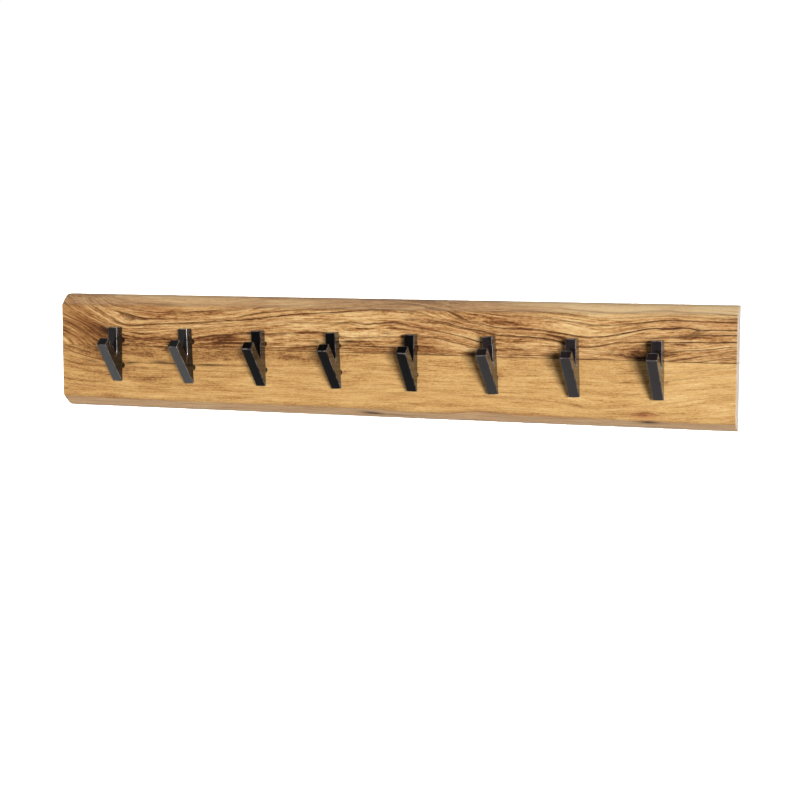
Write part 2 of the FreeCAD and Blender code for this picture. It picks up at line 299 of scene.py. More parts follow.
# Growth lines of the upper stave: level, then the height at each x, then the strength of the
# dark late wood at some x, in tenths. The figure's level rises with height.
UPPER_LINES = [
    (24, {-600: 56, -575: 48, -560: 40, -543: 30, -527: 20, -510: 11, -490: 2, -400: -1, -200: 6,
      -100: 12, 0: 13.5, 100: 12.5, 200: 5, 300: 4, 440: 0, 520: 5, 600: 13},
     {-570: 6, -560: 2, -545: 4, -527: 4, -500: 0, 60: 0, 75: 7, 165: 6, 190: 0}),
    (32, {-600: 70, -575: 58, -552: 48, -540: 42, -527: 31, -505: 20, -480: 14, -440: 11.5, -400: 12,
      -350: 11, -300: 14, -200: 17, -100: 21, 0: 22, 33: 21.5, 72: 20, 100: 18, 150: 14, 230: 11, 300: 10,
      400: 10, 480: 6, 527: 10, 577: 18, 600: 19.5},
     {-600: 6, -580: 7, -552: 6, -530: 3, -500: 0, -300: 1, -280: 3, -250: 0, -110: 1, -30: 7, 0: 9,
      40: 9, 60: 0, 500: 0, 527: 7, 600: 5}),
    (41, {-600: 86, -570: 69, -545: 56, -520: 47, -505: 40, -472: 30, -447: 25, -430: 24.5, -402: 27,
      -342: 26, -323: 30, -300: 33, -263: 36, -248: 39, -192: 38.5, -150: 41, -98: 44, -65: 37, -33: 36,
      0: 38, 28: 39, 75: 39.5, 100: 39.5, 127: 34, 150: 29.5, 175: 24, 205: 20, 250: 18, 300: 18, 345: 16,
      400: 13, 440: 10, 483: 11, 518: 16, 553: 22, 600: 30},
     {-600: 1, -560: 2, -540: 4, -505: 7, -480: 5, -472: 6, -430: 7, -402: 6, -370: 1, -342: 6, -300: 10,
      -250: 8, -190: 6, -100: 6, -50: 5, 30: 5, 75: 6, 127: 6, 165: 3, 200: 2, 450: 1, 490: 5}),
    (50, {-600: 99, -560: 77, -530: 61, -510: 51, -490: 44, -472: 39.5, -430: 37, -400: 38, -350: 42,
      -300: 47, -250: 51, -200: 55, -167: 58, -150: 59.5, -98: 59, -57: 61, -37: 62, -23: 58, 0: 61,
      37: 62, 60: 57, 87: 53.5, 117: 48.5, 150: 42, 179: 34, 205: 30, 250: 27, 300: 26, 345: 23, 405: 22,
      437: 24, 483: 25, 518: 29, 550: 31, 577: 35, 600: 37},
     {-600: 0, -530: 2, -400: 1, -170: 3, -150: 6, -98: 5, -40: 7, 0: 9, 37: 9, 60: 7, 87: 7, 117: 6,
      150: 8, 185: 10, 215: 3, 345: 1, 470: 3, 490: 7}),
    (58, {-600: 112, -560: 92, -535: 77, -510: 64.5, -498: 57, -488: 51, -470: 45.5, -452: 44.5, -398: 47,
      -340: 50.5, -300: 53.5, -250: 57, -213: 60, -180: 64, -133: 68, -98: 69, -48: 71, 0: 75, 40: 74,
      72: 70, 100: 66.5, 123: 64, 143: 58, 165: 54.5, 185: 51, 203: 47, 230: 44.5, 268: 44, 300: 41,
      320: 36, 345: 30.5, 373: 32, 397: 37, 407: 39, 443: 40, 460: 41.5, 480: 41, 518: 42, 535: 43,
      547: 42, 600: 44.5},
     {-600: 0, -520: 1, 90: 0, 104: 8, 123: 8, 165: 9, 203: 8, 268: 10, 300: 9, 373: 9, 400: 6, 443: 7,
      480: 8, 535: 10}),
    (62, {-600: 120, -560: 99, -540: 84, -525: 74, -510: 66, -498: 59, -490: 54.5, -480: 50.5, -468: 48.4,
      -452: 48, -398: 51, -340: 54.5, -300: 57.5, -250: 61, -213: 64.5, -180: 69.5, -133: 74, -98: 76,
      -48: 80, 0: 83.5, 50: 83.5, 75: 80, 98: 73, 118: 69, 143: 63.5, 165: 59.5, 203: 51.5, 250: 49,
      300: 46.5, 330: 41, 355: 38, 380: 40, 410: 44.5, 440: 48.5, 468: 46.5, 477: 49.5, 503: 50.5,
      525: 53, 550: 54, 600: 55},
     {-600: 0, -535: 4, -525: 8, -505: 4, -495: 7, -480: 9, -452: 10, -398: 8, -340: 8, -280: 10,
      -133: 10, -98: 8, -48: 9, 0: 8, 50: 6, 70: 3, 90: 4, 104: 1, 400: 1, 440: 4, 477: 7, 503: 7, 530: 6,
      550: 9, 600: 8}),
    (68, {-600: 130, -560: 108, -535: 92, -510: 79, -490: 73, -478: 70, -457: 66, -447: 62.5, -417: 59.5,
      -380: 60, -340: 61, -300: 62, -258: 64.5, -240: 69, -203: 74.5, -160: 79, -133: 80.5, -100: 82,
      -50: 85.5, 0: 90.5, 35: 93, 50: 93.5, 77: 91, 95: 87, 122: 84, 134: 79, 147: 72, 157: 68, 185: 63,
      213: 58, 268: 57, 300: 53.5, 313: 51, 333: 49, 350: 46.5, 387: 48, 402: 51, 432: 57, 450: 61,
      470: 63, 480: 61, 495: 63.5, 510: 64.5, 523: 64, 533: 61.5, 540: 60.5, 550: 62, 600: 62},
     {-600: 0, -515: 5, -500: 4, -478: 7, -440: 8, -417: 5, -380: 1, -265: 3, -240: 7, -200: 8, -160: 6,
      -100: 5, -50: 8, 0: 9, 50: 10, 95: 8, 134: 8, 157: 6, 213: 8, 268: 9, 300: 10, 350: 9, 387: 8,
      432: 10, 510: 10, 535: 9, 550: 10, 600: 9}),
    (76, {-600: 140, -540: 102, -500: 86, -470: 79, -440: 74, -400: 71, -360: 72, -300: 76, -250: 79,
      -225: 84, -198: 86.5, -140: 87.5, -130: 89, -73: 93, -33: 95.5, 0: 97, 50: 99, 95: 96, 122: 91.5,
      150: 86, 213: 79, 260: 77, 300: 74.5, 350: 68, 373: 65.5, 413: 67, 460: 73, 480: 75.5, 548: 75,
      600: 74.5},
     {-600: 0, -500: 4, -380: 4, -340: 8, -300: 6, -230: 3, -198: 8, -140: 7, -100: 5, -33: 8, 0: 3,
      95: 5, 150: 2, 300: 4, 350: 6, 413: 6, 460: 9, 480: 10, 548: 10, 600: 9}),
    (84, {-600: 150, -540: 113, -500: 95, -460: 88, -400: 86, -340: 86, -300: 88, -220: 93, -130: 96,
      0: 103, 95: 102, 150: 94, 190: 84.5, 213: 84, 250: 86.5, 300: 84.5, 342: 81, 373: 78, 413: 78,
      460: 81, 500: 83, 548: 81, 600: 81},
     {-600: 0, -460: 5, -340: 4, -300: 1, 180: 2, 200: 6, 250: 6, 285: 7, 342: 6, 380: 2, 440: 5, 500: 5,
      600: 4}),
    (90, {-600: 158, -540: 122, -500: 104, -440: 97, -340: 95, -220: 100, 0: 110, 150: 102, 213: 94,
      300: 92, 327: 89.5, 373: 87, 410: 86, 460: 89.5, 490: 91, 503: 89, 553: 88, 600: 85},
     {-600: 0, 300: 3, 330: 8, 373: 7, 410: 5, 460: 8, 503: 8, 553: 7, 600: 8}),
]
# Straight (level, z) lines beyond the drawn ones.
UPPER_BASE = [(-26, -40), (110, 118)]

# Growth lines of the lower stave, in the same form. Its grain is straighter and paler.
LOWER_LINES = [
    (8, {-600: 6, -550: -8, -500: -17, -475: -17.5, -300: -18, -200: -16, -90: -14, 0: -9.5, 50: -10,
      150: -10, 300: -8, 357: -12, 475: -8, 530: -3, 600: 6},
     {-600: 9, -550: 13, -500: 14, -475: 15, -300: 14, -200: 7, -90: 6, -50: 1, 0: 6, 50: 6, 100: 1,
      200: 4, 300: 3, 400: 3, 520: 6, 600: 5}),
    (-6, {-600: -14, -550: -24, -470: -28, -300: -28, -90: -27, 0: -24, 150: -24, 300: -24, 400: -26,
      475: -22, 530: -14, 600: -8},
     {-600: 8, -540: 11, -500: 6, -460: 11, -420: 8, -300: 4, -90: 3, 60: 4, 200: 1, 470: 3, 520: 7,
      600: 3}),
    (-24, {-600: -38, -540: -45, -450: -48, -300: -46, -90: -45, 0: -42, 150: -42, 300: -43, 400: -44,
      475: -38, 550: -30, 600: -26},
     {-600: 4, -540: 3, -300: 2, 0: 3, 150: 2, 475: 2, 600: 3}),
    (-42, {-600: -56, -570: -60, -450: -63, -300: -62, -90: -58, 0: -56, 150: -55, 300: -59, 357: -67,
      400: -66, 475: -58, 550: -45, 600: -40},
     {-600: 5, -560: 6, -500: 2, -440: 4, -300: 1, 200: 3, 280: 5, 330: 5, 357: 6, 475: 3}),
    (-58, {-600: -72, -450: -74, -300: -73, 0: -71, 150: -72, 300: -74, 370: -77, 430: -74, 455: -70.5,
      480: -75, 550: -68, 600: -62},
     {-600: 2, -300: 1, 0: 2, 150: 3, 360: 3, 430: 5, 455: 8, 470: 8, 490: 1, 600: 2}),
    (-72, {-600: -84, -450: -87, -300: -86, 0: -85, 150: -84, 300: -88, 440: -87, 520: -87, 600: -84},
     {-300: 3, 0: 2}),
]
LOWER_BASE = [(30, 24), (-96, -112)]

# Broad patches that follow the grain: x, z, half length, half width across, and a change of lightness, a
# strength of red, or a loss of contrast. Besides the wood's own tone, the lightness patches hold painted
# light: those that darken the left end and lighten the right end paint the key light's falloff from right
# to left, and those at (-140, 16) and (440, 24) are partly painted shadow of the arms of hooks 4 and 8.
UPPER_PATCHES = {
    "tone_and_painted_light": [
        (-560, 40, 60, 22, -0.12), (-425, 76, 50, 9, -0.1), (-280, 24, 26, 5, -0.3),
        (-140, 16, 46, 8, -0.18), (100, 24, 42, 10, -0.1), (80, 56, 34, 5, -0.16),
        (440, 24, 34, 8, -0.22), (500, 56, 40, 5, -0.12), (330, 40, 40, 5, -0.14),
        (230, 80, 60, 10, -0.08), (-120, 50, 90, 10, 0.1), (380, 55, 50, 5, 0.1), (400, 95, 80, 8, 0.12),
        (-520, 12, 60, 8, -0.1), (-540, 50, 70, 16, -0.12), (-200, 12, 190, 5, -0.12),
        (-420, 17, 60, 6, -0.2), (-310, 17, 50, 6, -0.16), (60, 17, 110, 4, -0.18),
        (250, 17, 60, 5, -0.16), (530, 17, 70, 5, -0.16), (-30, 53, 60, 6, 0.14),
        (-380, 94, 130, 8, 0.26), (-130, 94, 70, 8, 0.1), (90, 94, 80, 8, -0.14), (270, 94, 60, 8, 0.18),
        (570, 94, 50, 8, 0.34), (450, 94, 140, 8, 0.34), (-396, 82, 70, 12, -0.08),
        (-132, 82, 60, 10, 0.06), (132, 82, 60, 10, 0.06), (396, 80, 70, 10, 0.09),
        (-264, 55, 60, 10, 0.09), (-132, 56, 50, 10, -0.05), (0, 55, 60, 10, 0.1),
        (132, 55, 50, 10, -0.06), (330, 55, 110, 10, 0.07), (528, 50, 60, 12, 0.06),
        (-528, 32, 60, 14, -0.05), (-396, 25, 60, 10, -0.1), (-264, 25, 60, 10, -0.1),
        (-132, 25, 50, 10, 0.09), (0, 25, 60, 10, -0.11), (132, 25, 50, 10, 0.07),
    ],
    "red": [
        (-425, 76, 50, 9, 0.7), (-530, 50, 26, 4, 0.8), (-240, 78, 70, 5, 0.4), (60, 66, 30, 6, 0.4),
        (90, 53, 50, 3, 0.5), (235, 74, 50, 8, 0.4), (540, 72, 60, 5, 0.7), (120, 24, 40, 8, 0.3),
    ],
    "calm": [(-560, 46, 50, 24, 0.6), (-150, 94, 420, 7, 0.3)],
}
LOWER_PATCHES = {
    "tone_and_painted_light": [
        (-560, -18, 60, 10, -0.1), (-540, -60, 60, 12, -0.05), (-300, -60, 50, 40, -0.06),
        (60, -20, 100, 14, -0.05), (450, -50, 120, 30, 0.05), (-420, 0, 260, 9, -0.22),
        (-130, 0, 60, 7, -0.2), (-500, -36, 130, 16, -0.14), (-560, 0, 70, 8, -0.3),
        (560, -20, 70, 40, 0.12), (450, -75, 13, 2.6, -0.35), (500, 4, 90, 6, 0.1),
        (-560, -6, 50, 8, 0.08), (-264, -2, 60, 10, -0.13), (-396, -40, 70, 14, -0.1),
        (0, -40, 60, 14, 0.06), (-550, -72, 70, 12, -0.11),
    ],
    "red": [
        (450, -76, 20, 5.5, 1.6), (-54, -22, 5, 3, 1.2), (214, -19, 5, 3, 1.2), (486, -23, 4, 3, 1.4),
        (160, -78, 30, 4, 0.4), (-560, -62, 26, 5, 0.5), (250, -83, 110, 3, 0.5),
    ],
    "calm": [(0, -60, 200, 12, 0.2)],
}

# Small marks: x, z, half length, half width, tilt in degrees, darkness. Some of them are painted shadows
# rather than marks in the wood.
# Painted shadows: the marks at (-511, 37) and (-507, 36) are the shade beside hook 1's leg over a dark
# knot, (-108, 27) is the shade left of hook 4 over dark grain, and (165, 13.2), (306, 11.8) and (444,
# 14.5) are the shadows of the arm tips of hooks 6, 7 and 8 over dark grain near the glue line.
UPPER_MARKS_AND_SHADOWS = [
    (534, 60.5, 4, 4, 0, 0.8), (528, 57, 8, 2.2, 35, 0.6), (-465, 14, 8, 2.2, 20, 0.6),
    (-462, 19, 8, 2.0, -25, 0.4), (-511, 37, 11, 6.5, -25, 1.0), (-507, 36, 9, 6.5, -30, 1.0),
    (-50, 29, 15, 2.2, 3, 1.0), (-108, 27, 9, 2.4, 0, 0.8), (398, 24, 6, 3, 35, 0.5),
    (442, 30.5, 22, 2.2, 8, 0.6), (424, 16, 16, 2.2, -12, 0.6), (444, 14.5, 12, 3.2, 3, 1.0),
    (165, 13.2, 12, 3.0, 4, 1.0), (306, 11.8, 12, 2.6, 0, 0.9), (18, 44, 8, 2.0, 0, 0.6),
    (60, 77, 6, 2.2, 40, 0.4), (92, 66, 7, 2.0, 40, 0.5), (64, 68, 10, 2.0, 0, 0.6),
    (-388, 84, 22, 2.0, 0, 0.4),
]
LOWER_MARKS = [
    (-462, -19.5, 14, 2.0, 8, 0.8), (-394, -16.8, 26, 2.0, -3, 1.0), (-400, -15.0, 16, 3.0, -3, 0.6),
    (-308, -18.2, 26, 1.8, 2, 1.0), (-536, -17.5, 16, 2.0, -14, 0.6), (-10, -91.5, 24, 3.0, -4, 1.0),
    (34, -95, 34, 2.6, -3, 0.8), (457, -87, 18, 2.8, 0, 1.0), (-390, -94.5, 4, 2.2, 0, 0.8),
    (484.4, -23.3, 2.6, 2.4, 0, 0.5), (-57.9, -21.8, 2.8, 2.2, 0, 0.4), (210.9, -18.4, 2.8, 2.2, 0, 0.4),
]

# Spacing of samples along the drawn lines and along the straight ones beyond them.
LINE_STEP = 9.0
BASE_STEP = 40.0
BASE_REACH = 620
# Thin-plate fit: lengths along the grain count for less, and the fit is a little smoothed.
STRETCH = 4.0
SMOOTHING = 0.02
PLATE_SCALE = 1000.0
PLANE_SCALE = 100.0
BATCH = 4000
# Distances in level up to which a line has its full strength, and beyond which it has none.
LINE_NEAR = 1.2
LINE_FAR = 2.0


def value_at(x, values):
    """Straight-line values at x from a table of them."""
    return np.interp(x, list(values), list(values.values()))


def smooth_line(points, step):
    """Points about every step along a smooth curve through given points."""
    made = []
    points = [np.array(point, float) for point in points]
    padded = [points[0], *points, points[-1]]
    for before, start, end, after in zip(padded, padded[1:], padded[2:], padded[3:]):
        pieces = max(1, int(round(np.linalg.norm(end - start) / step)))
        for t in np.arange(pieces) / pieces:
            place = start + t * (end - before) / 2
            place += t ** 2 * (before - 2.5 * start + 2 * end - after / 2)
            place += t ** 3 * (1.5 * (start - end) + (after - before) / 2)
            made.append(place)
    return np.array([*made, points[-1]])


def plate_kernel(points, centres):
    """Thin-plate kernel, with lengths along the grain shortened."""
    along = (points[:, None, 0] - centres[None, :, 0]) / STRETCH
    across = points[:, None, 1] - centres[None, :, 1]
    square = (along ** 2 + across ** 2) / PLATE_SCALE
    return square * np.log(square + 1e-9)


def plane_terms(points):
    return np.column_stack([np.ones(len(points)), points / PLANE_SCALE])


class Figure:
    """The level of the growth rings at any (x, z), smooth between the drawn lines."""

    def __init__(self, lines, base):
        self.lines = lines
        drawn = [(level, smooth_line(line.items(), LINE_STEP)) for level, line, _ in lines]
        drawn += [(level, smooth_line([(-BASE_REACH, z), (BASE_REACH, z)], BASE_STEP))
                  for level, z in base]
        self.centres = np.concatenate([samples for _, samples in drawn])
        levels = np.concatenate([np.full(len(samples), float(level)) for level, samples in drawn])
        count = len(levels)
        kernel = plate_kernel(self.centres, self.centres) + SMOOTHING * np.eye(count)
        plane = plane_terms(self.centres)
        system = np.block([[kernel, plane], [plane.T, np.zeros((3, 3))]])
        answer = np.linalg.solve(system, np.concatenate([levels, np.zeros(3)]))
        self.weights, self.plane = answer[:count], answer[count:]

    def level(self, points):
        made = []
        for start in range(0, len(points), BATCH):
            part = points[start:start + BATCH]
            kernel = plate_kernel(part, self.centres)
            made.append(kernel @ self.weights + plane_terms(part) @ self.plane)
        return np.concatenate(made)

    def nearest_line(self, x, level):
        """Signed distance in level to the nearest drawn line, and its strength there."""
        offsets = np.stack([level - line_level for line_level, _, _ in self.lines])
        strengths = np.stack([value_at(x, dark) / 10 for _, _, dark in self.lines])
        nearest = np.abs(offsets).argmin(0)[None]
        offset = np.take_along_axis(offsets, nearest, 0)[0]
        strength = np.take_along_axis(strengths, nearest, 0)[0]
        fade = np.clip((LINE_FAR - np.abs(offset)) / (LINE_FAR - LINE_NEAR), 0, 1)
        return offset, strength * fade

    def patches(self, x, level, patches):
        """Sum of the soft patches at points given by x and level."""
        total = np.zeros(len(x))
        for centre_x, centre_z, half_x, half_level, amount in patches:
            centre_level = self.level(np.array([[centre_x, centre_z]], float))[0]
            square = ((x - centre_x) / half_x) ** 2 + ((level - centre_level) / half_level) ** 2
            total += amount * np.exp(-square)
        return total


def marks_and_shadows_at(x, z, marks_and_shadows):
    total = np.zeros(len(x))
    for centre_x, centre_z, half_x, half_z, tilt, amount in marks_and_shadows:
        cos, sin = math.cos(math.radians(tilt)), math.sin(math.radians(tilt))
        along = (x - centre_x) * cos + (z - centre_z) * sin
        across = (z - centre_z) * cos - (x - centre_x) * sin
        total = np.maximum(total, amount * np.exp(-(along / half_x) ** 2 - (across / half_z) ** 2))
    return total


# ---- staves

# Distance in from the board's edge to the live edge's arris on the front, at each x.
UPPER_ARRIS = {-600: 18.8, -325: 17.5, 40: 17.5, 378: 15.6, 600: 14.0}
LOWER_ARRIS = {-600: 22, -588: 19, -311: 17, -145: 17.5, 0: 17.0, 55: 14.2, 120: 14.6, 175: 19.6,
               190: 19.2, 250: 16, 380: 16, 447: 14, 600: 14.5}
# Poles of the live edge's section: (depth from the front, share of the arris distance).
UPPER_SLOPE = [(0, 1), (11, 0.37), (17, 0), (28, 0)]
LOWER_SLOPE = [(0, 1), (11, 0.50), (21, 0.05), (31, 0)]
ARRIS_RADIUS = 0.9
END_RADIUS = 0.9
GLUE_EASE = 0.25
# Lattice of a stave: stations along the board, crowded at its rounded ends, rows and depths.
STATIONS = 476
END_MARGIN = 2.5
END_STEPS = [0, 0.08, 0.3, END_RADIUS]
ROW_HEIGHT = 1.9
DEPTHS = np.array([0, 0.25, 0.9, 2, 3.5, 5.5, 7.5, 9.5, 11.5, 14, 17, 21, 25, 28, 30.5, 31.7, 32])
# Ripples: height, (length, depth) of the long and the short ones, a phase that sets the staves
# apart, and the depths over which they fade out at the front and the back.
RIPPLE = 0.7
LONG_RIPPLE = (60, 14)
SHORT_RIPPLE = (17, 5)
RIPPLE_PHASE = 3.1
RIPPLE_FADES = (3, 4)


def ease(distance, radius):
    """How far a rounded corner falls back at a distance from it."""
    reach = np.clip(1 - np.asarray(distance, float) / radius, 0, 1)
    return radius * (1 - np.sqrt(1 - reach ** 2))


def slope_share(depth, slope):
    """Height of the live edge's section at a depth, as a share of the arris distance."""
    t = np.linspace(0, 1, 200)
    weights = [(1 - t) ** 3, 3 * t * (1 - t) ** 2, 3 * t ** 2 * (1 - t), t ** 3]
    depths = sum(w * pole[0] for w, pole in zip(weights, slope))
    shares = sum(w * pole[1] for w, pole in zip(weights, slope))
    return np.interp(depth, depths, shares)


def ripple_at(x, depth, phase):
    """Shallow hollows left where the bark came away, nearly always inwards."""
    (long_x, long_depth), (short_x, short_depth) = LONG_RIPPLE, SHORT_RIPPLE
    long_wave = noise.noise(Vector((x / long_x, depth / long_depth, phase)))
    short_wave = noise.noise(Vector((x / short_x, depth / short_depth, phase + 7)))
    return RIPPLE * (0.5 + 0.5 * long_wave + 0.25 * short_wave)


class Stave:
    """One stave's outline, from the glue line to its live edge. side is 1 above and -1 below."""

    def __init__(self, name, side, arris, slope):
        self.name, self.side, self.arris, self.slope = name, side, arris, slope

    def edge_z(self, x, depth):
        """Height of the live edge's surface, without ripples."""
        fall = value_at(x, self.arris) * slope_share(depth, self.slope) + ease(depth, ARRIS_RADIUS)
        return self.side * (HALF_HEIGHT - fall)

    def lattice(self):
        """Points [station, row, column]: x along the board, rows from the glue line, then depth."""
        inner = HALF_LENGTH - END_MARGIN
        ends = HALF_LENGTH - np.array(END_STEPS)
        stations = np.concatenate([-ends, np.linspace(-inner, inner, STATIONS), ends[::-1]])
        height = HALF_HEIGHT - self.side * GLUE_Z
        rows = np.linspace(0, 1, int(height / ROW_HEIGHT))[1:]
        rows = np.concatenate([[0, GLUE_EASE / height], rows])
        fade_front, fade_back = RIPPLE_FADES
        fade = np.clip(DEPTHS / fade_front, 0, 1)
        fade *= np.clip((THICKNESS - DEPTHS) / fade_back, 0, 1)
        foot = GLUE_Z + self.side * ease(DEPTHS, GLUE_EASE)
        points = np.zeros((len(stations), len(rows), len(DEPTHS), 3))
        for i, x in enumerate(stations):
            inset = ease(HALF_LENGTH - abs(x), END_RADIUS)
            ripple = [ripple_at(x, depth, self.side * RIPPLE_PHASE) for depth in DEPTHS]
            top = self.edge_z(x, DEPTHS) - self.side * (np.array(ripple) * fade + inset)
            points[i, :, :, 0] = x
            points[i, :, :, 1] = -THICKNESS + inset + DEPTHS * (1 - 2 * inset / THICKNESS)
            points[i, :, :, 2] = foot + rows[:, None] * (top - foot)
        return points

    def shell(self):
        """The closed surface of the lattice as a mesh object, in metres."""
        points = self.lattice()
        shape = points.shape[:3]
        skin = np.ones(shape, bool)
        skin[1:-1, 1:-1, 1:-1] = False
        number = np.full(shape, -1)
        number[skin] = np.arange(skin.sum())
        quads = []
        for axis in range(3):
            for end in (0, -1):
                sheet = np.take(number, end % shape[axis], axis)
                corners = [sheet[:-1, :-1], sheet[1:, :-1], sheet[1:, 1:], sheet[:-1, 1:]]
                upright = (end == -1) == (self.side > 0)
                if upright != (axis == 1):
                    corners.reverse()
                quads.append(np.stack([corner.ravel() for corner in corners], 1))
        mesh = bpy.data.meshes.new(self.name)
        mesh.from_pydata((points[skin] * MM).tolist(), [], np.concatenate(quads).tolist())
        mesh.update()
        return new_object(self.name, mesh)


KEYHOLE_PLATES = ("keyhole_plate_left", "keyhole_plate_right")
PLATE_LOW, PLATE_HIGH = box_mm(KEYHOLE_PLATES[0])
COUNTERBORE_RADIUS = 7.0
COUNTERBORE_DEPTH = -box_mm("hook_screw_washers")[0][1]
HOLE_RADIUS = 3.3
OVERRUN = 2.0
PLATE_FIT = 0.2
PLATE_THICKNESS = PLATE_HIGH[1] - PLATE_LOW[1]
PLATE_HALF_WIDTH = (PLATE_HIGH[0] - PLATE_LOW[0]) / 2
POCKET_RADIUS = 5.5
POCKET_DEPTH = 12.0
POCKET_HALF_TRAVEL = 6.0


def drill(stave, sleeves):
    """Counterbored screw holes through a stave, behind each of its sleeves."""
    steps = [
        (OVERRUN, COUNTERBORE_RADIUS),
        (-COUNTERBORE_DEPTH, COUNTERBORE_RADIUS),
        (-COUNTERBORE_DEPTH, HOLE_RADIUS),
        (-THICKNESS - OVERRUN, HOLE_RADIUS),
    ]
    stacks = []
    for node in sleeves:
        x, _, z = middle_mm(node)
        stacks.append([circle(x, y, z, radius) for y, radius in steps])
    cut_away(stave, plugs("drill", stacks))


def recess_plates(stave):
    """Seats for the two keyhole plates, then the pockets behind their keyholes."""
    seats, pockets = [], []
    for node in KEYHOLE_PLATES:
        low, high = box_mm(node)
        x, _, z = (low + high) / 2
        foot, top = low[2] + PLATE_HALF_WIDTH, high[2] - PLATE_HALF_WIDTH
        seats.append([stadium(x, y, foot, top, PLATE_HALF_WIDTH + PLATE_FIT)
                      for y in (OVERRUN, -PLATE_THICKNESS)])
        foot, top = z - POCKET_HALF_TRAVEL, z + POCKET_HALF_TRAVEL
        pockets.append([stadium(x, y, foot, top, POCKET_RADIUS)
                        for y in (OVERRUN, -POCKET_DEPTH)])
    cut_away(stave, plugs("seats", seats))
    cut_away(stave, plugs("pockets", pockets))


# The live edge's surface lies no further in than this from the smooth edge.
EDGE_REACH = 1.3 * RIPPLE + 0.3
# The grain runs straight back, then dips with the depth behind the live edge.
FLAT_GRAIN_DEPTH = 17.0
GRAIN_DIP = 0.85
# Limits of the levels per millimetre by which a drawn line's width is set.
STEEPNESS = (0.4, 2.5)
# Depths where the live edge starts and where its look is full, lengths over which its arris fades back
# and inwards, and depths where the arris's look and the marks with their painted shadows end.
FACE_DEPTH = 0.1
LIVE_DEPTH = 1.2
ARRIS_FADE_BACK = 1.6
ARRIS_FADE_IN = 2.2
ARRIS_DEPTH = 12
MARK_AND_SHADOW_DEPTH = 16


def store_figure(piece, stave, figure, patches, marks_and_shadows):
    """Writes the figure that the wood shader reads on to the stave's points."""
    mesh = piece.data
    places = np.zeros(len(mesh.vertices) * 3)
    mesh.vertices.foreach_get("co", places)
    x, y, z = (places.reshape(-1, 3) / MM).T
    depth = y + THICKNESS
    below = stave.side * (stave.edge_z(x, depth) - z)
    on_edge = (below < EDGE_REACH) & (depth > FACE_DEPTH)
    dip = np.where(on_edge, np.clip(depth - FLAT_GRAIN_DEPTH, 0, None), depth)
    grain_z = z - stave.side * GRAIN_DIP * dip
    level = figure.level(np.column_stack([x, grain_z]))
    slant = figure.level(np.column_stack([x + 1, grain_z])) - level
    rise = figure.level(np.column_stack([x, grain_z + 1])) - level
    offset, strength = figure.nearest_line(x, level)
    arris = np.where(on_edge, np.exp(-depth / ARRIS_FADE_BACK),
                     np.exp(-np.clip(below, 0, None) / ARRIS_FADE_IN))
    store(mesh, "grain", np.column_stack([x, level, depth]), "FLOAT_VECTOR")
    store(mesh, "line", offset / np.clip(np.hypot(slant, rise), *STEEPNESS))
    store(mesh, "accent", strength)
    for name, rows in patches.items():
        store(mesh, name, figure.patches(x, level, rows))
    # Darkness of the small marks and of the painted shadows among them, kept to the front of the stave.
    store(mesh, "mark_and_painted_shadow", marks_and_shadows_at(x, z, marks_and_shadows) * (depth < MARK_AND_SHADOW_DEPTH))
    store(mesh, "live", np.where(on_edge, np.clip(depth / LIVE_DEPTH, 0, 1), 0))
    store(mesh, "arris", np.where(depth > ARRIS_DEPTH, 0, arris))


# ---- wood

# Layers of the wood's lightness: waves in a look's length, millimetres across the rings and
# through the thickness, then the noise's detail, roughness and distortion.
LAYERS = {
    "broad": (1.0, 9, 30, 2, 0.5, 0.0),
    "band": (1.6, 4.2, 16, 3, 0.6, 0.3),
    "streak": (2.6, 1.9, 9, 3, 0.65, 0.3),
    "fibre": (8, 2.6, 4, 2, 0.6, 0.0),
    "speck": (18, 2.4, 3, 3, 0.8, 0.0),
}
# Fibres and specks also change with height: levels per millimetre.
FINE_RISE = 0.6
GLUE_CORE = 0.2
GLUE_REACH = 1.1
GLUE_COLOUR = lit(70, 42, 22)
# Colour of the small marks and of the painted shadows among them.
MARK_AND_SHADOW_COLOUR = lit(46, 26, 14)
ARRIS_COLOUR = lit(96, 62, 38)
END_RAMP = [(0.25, lit(176, 148, 122)), (0.7, lit(234, 220, 202))]


def even_ramp(*colours):
    """Ramp stops at even steps from the first colour to the last."""
    return [(i / (len(colours) - 1), lit(*colour)) for i, colour in enumerate(colours)]


# A look: colours from dark to light, the grain's length, strengths of the layers, thin rings and
# smoky bands, middle lightness, then strengths and colours of what lies over them.
UPPER_LOOK = {
    "ramp": even_ramp((84, 48, 22), (134, 86, 44), (180, 130, 77), (210, 164, 106), (229, 189, 129),
                      (238, 206, 150)),
    "length": 150, "broad": 0.8, "band": 0.7, "streak": 1.15, "fibre": 0.9, "speck": 1.05,
    "thin": 0.26, "smoky": 0.36, "lift": 0.55,
    "accent": 1.2, "dark": lit(88, 50, 24), "red": lit(158, 92, 58), "live": 0.5,
    "edge": [(0.3, lit(160, 124, 96)), (0.55, lit(212, 171, 128)), (0.75, lit(240, 204, 155))],
}
LOWER_LOOK = {
    "ramp": even_ramp((112, 70, 36), (166, 118, 68), (200, 153, 92), (218, 174, 109),
                      (232, 194, 132), (240, 210, 158)),
    "length": 90, "broad": 0.75, "band": 0.4, "streak": 0.6, "fibre": 0.6, "speck": 0.85,
    "thin": 0.05, "smoky": 0.2, "lift": 0.48,
    "accent": 0.6, "dark": lit(104, 62, 32), "red": lit(172, 104, 66), "live": 0.75,
    "edge": [(0.25, lit(156, 121, 90)), (0.55, lit(206, 168, 127)), (0.8, lit(230, 198, 158))],
}


def grained(s, along, across, deep, *settings):
    """Noise that follows the stored figure, with features of these millimetres each way."""
    scale = (1 / along, 1 / across, 1 / deep)
    return s.noise(s.attribute("grain", "Vector"), scale, *settings)


